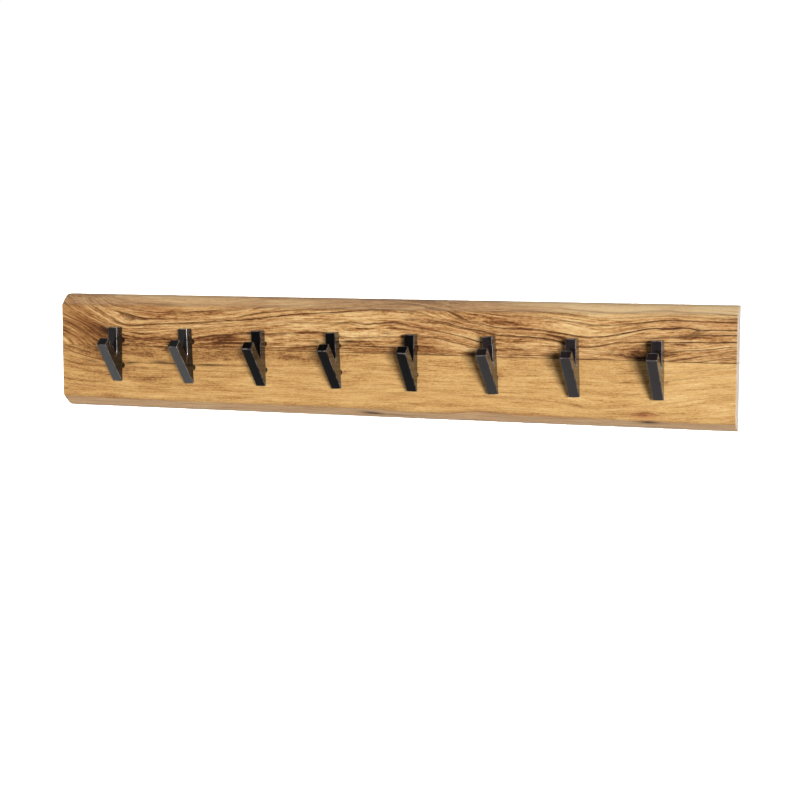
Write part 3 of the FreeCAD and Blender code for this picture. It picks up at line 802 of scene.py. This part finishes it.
def wood_material(name, look):
    """Oiled wood whose streaks, rings and pores follow the stored figure."""
    s = Shader(name)
    value, streak, fibre = wood_value(s, look)
    colour = s.ramp(value, look["ramp"])
    red = s.times(s.attribute("red"), s.range(streak, 0.35, 0.6, 0.3, 1.0))
    colour = s.mix(s.times(red, 0.5), colour, look["red"])
    dark = drawn_lines(s)
    colour = s.mix(s.times(dark, look["accent"]), colour, look["dark"])
    colour = live_edge(s, streak, colour, look)
    # Small marks and painted shadows: darkened towards the mark colour.
    mark_and_painted_shadow = s.times(s.attribute("mark_and_painted_shadow"), s.range(fibre, 0.3, 0.6, 0.7, 1.0))
    colour = s.mix(mark_and_painted_shadow, colour, MARK_AND_SHADOW_COLOUR)
    colour = end_grain(s, colour)
    colour = glue_line(s, colour)
    pore = s.range(grained(s, 6, 0.35, 0.6, 1, 0.5), 0.64, 0.72)
    colour = s.mix(s.times(pore, 0.4), colour, look["dark"])
    relief = s.add(s.times(fibre, 0.5), pore, -1.0)
    relief = s.add(relief, dark, -0.4)
    return s.finish(
        Base_Color=colour,
        Roughness=s.range(value, 0.2, 0.8, 0.62, 0.48, smooth=False),
        Specular_IOR_Level=0.12,
        Normal=s.bump(relief, 0.12, 0.6),
    )


def wood_value(s, look):
    """Lightness from the layers, less thin dark rings and smoky bands, with the stored tones and the
    painted light in them.
    """
    grain = s.attribute("grain", "Vector")
    height = s.parts(s.position())["Z"]
    lifted = s.node("ShaderNodeCombineXYZ", {"Y": s.times(height, FINE_RISE / MM)})
    fine = s.node("ShaderNodeVectorMath", {0: grain, 1: lifted.outputs[0]}, operation="ADD")
    made = {}
    value = look["lift"]
    for key, (waves, across, deep, *settings) in LAYERS.items():
        vector = fine.outputs[0] if key in ("fibre", "speck") else grain
        scale = (waves / look["length"], 1 / across, 1 / deep)
        made[key] = s.noise(vector, scale, *settings)
        value = s.swing(value, made[key], look[key])
    thin = s.range(s.distance(grained(s, 240, 3.4, 40, 1.5, 0.5), 0.5), 0.0, 0.075, 1.0, 0.0)
    gate = s.range(grained(s, 80, 5, 40, 2, 0.5), 0.40, 0.62)
    value = s.add(value, s.times(thin, gate), -look["thin"])
    smoky = s.range(grained(s, 90, 3.0, 20, 3, 0.6, 0.3), 0.56, 0.70)
    value = s.add(value, smoky, -look["smoky"])
    contrast = s.math("SUBTRACT", 1.0, s.attribute("calm"))
    value = s.add(look["lift"], s.math("SUBTRACT", value, look["lift"]), contrast)
    # The stored tone is partly painted light: the key's falloff from right to left and shadow beside some
    # hooks' arms.
    value = s.math("ADD", value, s.attribute("tone_and_painted_light"))
    return value, made["streak"], made["fibre"]


def drawn_lines(s):
    """Late wood along the drawn lines: crisp above, fading below, uneven along the grain."""
    offset = s.swing(s.attribute("line"), grained(s, 14, 30, 30, 2, 0.6), 1.0)
    narrowing = s.range(grained(s, 45, 6, 30, 2, 0.6), 0.3, 0.7, 1.6, 0.65)
    offset = s.times(offset, narrowing)
    above = s.range(offset, 0.2, 1.2, 1.0, 0.0)
    under = s.range(offset, -3.4, -0.3, 0.0, 1.0)
    dark = s.times(s.times(above, under), s.attribute("accent"))
    broken = s.range(grained(s, 22, 2, 20, 2, 0.6), 0.25, 0.6, 0.55, 1.0)
    return s.times(dark, broken, clamp=True)


def live_edge(s, streak, colour, look):
    """The live edge is smoother and greyer than the face, behind a thin dark arris."""
    edge_streak = grained(s, 90, 2.4, 2.0, 3, 0.65)
    # The edge's colour also follows the stored tone, its painted light falloff included.
    edge_colour = s.ramp(s.math("ADD", edge_streak, s.attribute("tone_and_painted_light")), look["edge"])
    colour = s.mix(s.times(s.attribute("live"), look["live"]), colour, edge_colour)
    arris = s.times(s.attribute("arris"), s.range(streak, 0.3, 0.6, 0.05, 0.32))
    return s.mix(arris, colour, ARRIS_COLOUR)


def end_grain(s, colour):
    """Paler end grain, with the rings and the pores cut across."""
    normal = s.node("ShaderNodeNewGeometry").outputs["True Normal"]
    end = s.range(s.math("ABSOLUTE", s.parts(normal)["X"]), 0.6, 0.8)
    speck = s.noise(s.position(), (600, 900, 900), 2, 0.6)
    rings = s.noise(s.attribute("grain", "Vector"), (0.0, 1 / 1.6, 0.0), 2, 0.6)
    return s.mix(end, colour, s.ramp(s.swing(rings, speck, 0.5), END_RAMP))


def glue_line(s, colour):
    """The dark glue line, starved in places and fading towards the left end."""
    place = s.parts(s.position())
    distance = s.distance(place["Z"], GLUE_Z * MM)
    starved = s.range(s.noise(s.position(), (16, 0, 0), 2, 0.6), 0.35, 0.6, 0.35, 0.95)
    starved = s.times(starved, s.range(place["X"], -0.38, -0.20, 0.35, 1.0))
    line = s.range(distance, GLUE_CORE * MM, GLUE_REACH * MM, 1.0, 0.0)
    return s.mix(s.times(line, starved), colour, GLUE_COLOUR)


def make_stave(level, side, arris, slope, figure, patches, marks_and_shadows, look):
    """One stave with its holes, its stored figure and its wood."""
    stave = Stave(f"{level}_board", side, arris, slope)
    piece = stave.shell()
    drill(piece, [f"{level}_sleeve_{number}" for number in HOOK_NUMBERS])
    if side > 0:
        recess_plates(piece)
    store_figure(piece, stave, figure, patches, marks_and_shadows)
    shade(piece.data, 32)
    wood = f"{level}_wood"
    dress(piece, wood_material(wood, look), f"{level}_stave")


# ---- hooks

HOOK_WIDTH = 17.6
HOOK_HEIGHT = 98.0
LEG = 19.5
ARM_LENGTH = 93.0
ARM = 17.3
ARM_LEAN = math.radians(41.0)
LOWER_FIXING = 29.0
HEEL_RADIUS = 1.8
CORNER_RADIUS = 2.0
CROTCH_RADIUS = 2.2
LEAST_RADIUS = 0.15
ARC_PIECES = 6
# Pieces of each straight run of the profile, starting with the back of the leg.
PROFILE_PIECES = [30, 6, 16, 12, 5, 28]
# The side edges' rounding and its angles, the runs across a half, and the side faces' inset ring.
HOOK_EDGE = 1.6
EDGE_ANGLES = (22.5, 45, 67.5, 90)
HALF_RINGS = 4
CAP_INSET = 2.6
# Unevenness of the casting: (size, depth) of the slow and the quick waves.
SLOW_WAVES = (22, 0.16)
QUICK_WAVES = (6, 0.05)


def hook_corners():
    """(depth, height, radius) of the V profile's corners, with the concave crotch negative."""
    front = (ARM_LENGTH * math.sin(ARM_LEAN), ARM_LENGTH * math.cos(ARM_LEAN))
    back = (front[0] - ARM * math.cos(ARM_LEAN), front[1] + ARM * math.sin(ARM_LEAN))
    crotch = (LEG, back[1] - (back[0] - LEG) / math.tan(ARM_LEAN))
    return [(0, 0, HEEL_RADIUS), (0, HOOK_HEIGHT, CORNER_RADIUS), (LEG, HOOK_HEIGHT, CORNER_RADIUS),
            (*crotch, -CROTCH_RADIUS), (*back, CORNER_RADIUS), (*front, CORNER_RADIUS)]


def corner_arc(before, corner, after, inset):
    """A rounded corner drawn in by an inset: (depth, height, nearness to the middle) points."""
    *place, radius = corner
    point = Vector(place)
    towards = (Vector(before[:2]) - point).normalized()
    onwards = (Vector(after[:2]) - point).normalized()
    half = towards.angle(onwards) / 2
    inward = (towards + onwards).normalized()
    size = max(abs(radius) - inset, LEAST_RADIUS) if radius > 0 else abs(radius) + inset
    point += inward * (inset / math.sin(half) * (1 if radius > 0 else -1))
    setback = size / math.tan(half)
    centre = point + inward * (size / math.sin(half))
    first = point + towards * setback - centre
    last = point + onwards * setback - centre
    sweep = first.angle_signed(last)
    arc = []
    for k in range(ARC_PIECES + 1):
        turn = Matrix.Rotation(-sweep * k / ARC_PIECES, 2)
        arc.append((*(centre + turn @ first), 1 - abs(2 * k / ARC_PIECES - 1)))
    return arc


def profile_ring(inset):
    """The V profile's outline drawn in by an inset, with straight runs between its corners."""
    corners = hook_corners()
    following = corners[1:] + corners[:1]
    arcs = [corner_arc(corners[i - 1], corner, following[i], inset)
            for i, corner in enumerate(corners)]
    ring = []
    for arc, after, pieces in zip(arcs, arcs[1:] + arcs[:1], PROFILE_PIECES):
        start, end = Vector(arc[-1]), Vector(after[0])
        ring.extend(arc)
        ring.extend(tuple(start.lerp(end, k / pieces)) for k in range(1, pieces))
    return ring


def hook_sections():
    """(x, inset) of the profile rings from one side of a hook to the other."""
    half = HOOK_WIDTH / 2
    flat = half - HOOK_EDGE
    made = [(half, CAP_INSET), (half, HOOK_EDGE)]
    for angle in map(math.radians, EDGE_ANGLES):
        made.append((flat + HOOK_EDGE * math.cos(angle), HOOK_EDGE * (1 - math.sin(angle))))
    made += [(flat - flat * k / HALF_RINGS, 0) for k in range(1, HALF_RINGS)]
    return made + [(0, 0)] + [(-x, inset) for x, inset in reversed(made)]


def cast_skin(point, number):
    """Small unevenness of a casting that was fettled by hand."""
    (slow_size, slow_depth), (quick_size, quick_depth) = SLOW_WAVES, QUICK_WAVES
    slow = noise.noise(Vector(point) / slow_size + Vector((number * 5.3, 0, 0)))
    quick = noise.noise(Vector(point) / quick_size + Vector((0, number * 3.7, 0)))
    return slow_depth * slow + quick_depth * quick


def make_hook(number, material):
    """A V hook with rounded edges, set on its two sleeves with the lean that they give it."""
    upper = middle_mm(f"upper_sleeve_{number}")
    lower = middle_mm(f"lower_sleeve_{number}")
    back_y = box_mm(f"upper_sleeve_{number}")[0][1]
    lean = math.atan2(lower[0] - upper[0], upper[2] - lower[2])
    turn = Matrix.Rotation(-lean, 3, "Y")
    seat = Vector((lower[0], back_y, lower[2]))
    body = bmesh.new()
    edge_layer = body.verts.layers.float.new("edge")
    side_layer = body.verts.layers.float.new("side")
    rings = []
    for x, inset in hook_sections():
        ring = []
        for depth, height, corner_share in profile_ring(inset):
            local = Vector((x, -depth, height - LOWER_FIXING))
            local.y -= cast_skin(local, number) * 0.5
            point = body.verts.new((turn @ local + seat) * MM)
            # The edge share marks where the iron paints its highlight: the rounded side edges and the
            # profile's corners.
            round_share = max(0.0, 1 - abs(inset / HOOK_EDGE - 0.5) * 2)
            point[edge_layer] = min(1.0, 1.5 * max(round_share, corner_share))
            point[side_layer] = min(1.0, inset / HOOK_EDGE) ** 2
            ring.append(point)
        rings.append(ring)
    bridge(body, rings, rings[1:])
    body.faces.new(rings[0])
    body.faces.new(rings[-1][::-1])
    piece = finish_bmesh(f"v_hook_{number}", body)
    shade(piece.data, 50)
    weighted = piece.modifiers.new("weighted", "WEIGHTED_NORMAL")
    weighted.keep_sharp = True
    dress(piece, material, f"hook_{number}")


def iron_material(name, colour, roughness, front_gloss, side_gloss=None):
    """Black lacquer over a casting, with a fine skin and paler edges, which are a painted highlight.

    Where a side gloss is given, the lacquer's reflection on the flat sides differs.
    """
    s = Shader(name)
    place = s.position()
    mottle = s.noise(place, (90, 90, 90), 3, 0.6)
    skin = s.noise(place, (900, 900, 900), 3, 0.6)
    pits = s.noise(place, (420, 420, 420), 2, 0.5)
    paler = (*(channel * 1.6 for channel in colour[:3]), 1.0)
    base = s.mix(s.range(mottle, 0.3, 0.7), colour, paler)
    # Painted highlight: the rounded edges and the profile's corners are paled towards grey as if they
    # caught the light.
    painted_edge_glint = s.times(s.attribute("edge"), s.range(mottle, 0.38, 0.58, 0.15, 0.85))
    base = s.mix(painted_edge_glint, base, srgb(96, 90, 86))
    reflection = front_gloss
    if side_gloss is not None:
        reflection = s.range(s.attribute("side"), 0.0, 1.0, front_gloss, side_gloss)
    return s.finish(
        Base_Color=base,
        Roughness=s.swing(roughness, mottle, 0.12),
        Specular_IOR_Level=reflection,
        Normal=s.bump(s.add(skin, pits, 0.6), 0.05, 0.4),
    )


def make_hooks():
    # The three are copies of one black lacquer: their different colours and glosses paint the differences
    # of reflection between the hooks seen from this camera.
    grey = iron_material("hook_iron_grey", srgb(12, 10, 9), 0.17, 1.0, 0.25)
    black = iron_material("hook_iron_black", srgb(6, 5, 5), 0.14, 0.08, 1.0)
    brown = iron_material("hook_iron_brown", srgb(20, 14, 15), 0.17, 0.42, 1.0)
    materials = [grey, grey, black, black, black, brown, brown, brown]
    for number, material in zip(HOOK_NUMBERS, materials):
        make_hook(number, material)


# ---- sleeves and fasteners

SLEEVE_RADIUS = 5.2
SLEEVE_BORE = 3.2
SLEEVE_CHAMFER = 0.5
SLEEVE_SEGMENTS = 48


def make_sleeves():
    """The round stand-offs between the board and the hooks."""
    material = iron_material("sleeve_steel", srgb(8, 7, 7), 0.25, 0.2)
    for level in ("upper", "lower"):
        for number in HOOK_NUMBERS:
            node = f"{level}_sleeve_{number}"
            low, high = box_mm(node)
            length = high[1] - low[1]
            x, _, z = (low + high) / 2
            half = [
                (SLEEVE_BORE, 0),
                (SLEEVE_RADIUS - SLEEVE_CHAMFER, 0),
                (SLEEVE_RADIUS, SLEEVE_CHAMFER),
            ]
            profile = half + [(SLEEVE_RADIUS, length / 2)]
            profile += [(radius, length - distance) for radius, distance in reversed(half)]
            piece = lathe(f"{level}_spacer_{number}", profile, (x, high[1], z), SLEEVE_SEGMENTS)
            shade(piece.data, 30)
            dress(piece, material, node)


def steel_material(name, dark, light, roughness, brushed):
    """Plated steel: a mottled plating with fine scratches along one direction."""
    s = Shader(name)
    place = s.position()
    mottle = s.noise(place, (160, 160, 160), 3, 0.6)
    scratch = s.noise(place, brushed, 2, 0.7)
    return s.finish(
        Base_Color=s.ramp(s.swing(mottle, scratch, 0.6), [(0.3, dark), (0.7, light)]),
        Metallic=1.0,
        Roughness=s.swing(roughness, mottle, 0.25),
        Normal=s.bump(scratch, 0.04, 0.5),
    )


def finish_node(node, material):
    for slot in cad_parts[node].material_slots:
        slot.material = material


def dress_fasteners():
    """Finishes of the CAD nodes that stay as they are."""
    zinc = steel_material("zinc_steel", srgb(140, 142, 146), srgb(196, 198, 202), 0.34,
                          (700, 700, 700))
    plate = steel_material("plate_steel", srgb(128, 132, 138), srgb(188, 192, 198), 0.38,
                           (2400, 500, 120))
    for node in ("hook_screws", "hook_screw_washers", "plate_screws"):
        finish_node(node, zinc)
    for node in KEYHOLE_PLATES:
        finish_node(node, plate)


# ---- studio

FLOOR_Z = -1.25
FLOOR_HALF = 60.0
# Brightness of the room, and of the backdrop low behind the rack.
ROOM_LIGHT = 0.08
BACKDROP_LIGHT = 1.02


def make_floor():
    """A plain pale floor well below the rack."""
    half = FLOOR_HALF
    floor = bmesh.new()
    corners = [(-half, -half), (half, -half), (half, half), (-half, half)]
    floor.faces.new([floor.verts.new((x, y, FLOOR_Z)) for x, y in corners])
    piece = finish_bmesh("floor", floor)
    s = Shader("pale_floor")
    cloud = s.noise(s.position(), (1.4, 1.4, 1.4), 2, 0.5)
    colour = s.ramp(cloud, [(0.3, srgb(248, 248, 248)), (0.7, srgb(252, 252, 252))])
    piece.data.materials.append(s.finish(Base_Color=colour, Roughness=0.9))


def make_world():
    """A bright backdrop low behind the rack and a dimmer room above and in front of it."""
    world = bpy.data.worlds.new("studio")
    bpy.context.scene.world = world
    world.use_nodes = True
    s = Nodes(world.node_tree)
    direction = s.parts(s.node("ShaderNodeTexCoord").outputs["Generated"])
    behind = s.range(direction["Y"], 0.1, 0.5)
    low = s.range(direction["Z"], 0.25, 0.6, 1.0, 0.0)
    background = s.tree.nodes["Background"]
    s.put(background.inputs["Color"], (1, 1, 1, 1))
    strength = s.range(s.times(behind, low), 0.0, 1.0, ROOM_LIGHT, BACKDROP_LIGHT)
    s.put(background.inputs["Strength"], strength)


def area_light(name, place, aim, size, power, spread):
    """A rectangular light whose beam is narrowed to a spread in degrees."""
    data = bpy.data.lights.new(name, "AREA")
    data.shape = "RECTANGLE"
    data.size, data.size_y = size
    data.energy = power
    data.spread = math.radians(spread)
    light = new_object(name, data)
    light.location = place
    light.rotation_euler = (Vector(aim) - Vector(place)).to_track_quat("-Z", "Y").to_euler()


def make_lights():
    """A wide far key from the front right, and a panel over the floor behind the rack."""
    area_light("key", place=(14.1, -26.5, 2.6), aim=(0, 0, 0), size=(7.0, 4.0), power=3480,
               spread=90)
    area_light("panel", place=(0.0, 33.9, 5.0), aim=(0.0, 33.9, FLOOR_Z), size=(110.0, 64.2),
               power=56000, spread=80)


def make_camera():
    """A long lens well to the right of the rack and a little above it."""
    data = bpy.data.cameras.new("camera")
    data.sensor_width = 36
    data.lens = 78.39
    data.clip_end = 1000
    camera = new_object("camera", data)
    camera.location = (0.99085, -2.7509, 0.239)
    camera.rotation_euler = [math.radians(angle) for angle in (90 - 6.05, -0.08, 19.273)]
    bpy.context.scene.camera = camera


make_stave("upper", 1, UPPER_ARRIS, UPPER_SLOPE, Figure(UPPER_LINES, UPPER_BASE),
           UPPER_PATCHES, UPPER_MARKS_AND_SHADOWS, UPPER_LOOK)
make_stave("lower", -1, LOWER_ARRIS, LOWER_SLOPE, Figure(LOWER_LINES, LOWER_BASE),
           LOWER_PATCHES, LOWER_MARKS, LOWER_LOOK)
make_hooks()
make_sleeves()
dress_fasteners()
make_floor()
make_world()
make_lights()
make_camera()
bpy.context.scene.view_settings.view_transform = "Standard"
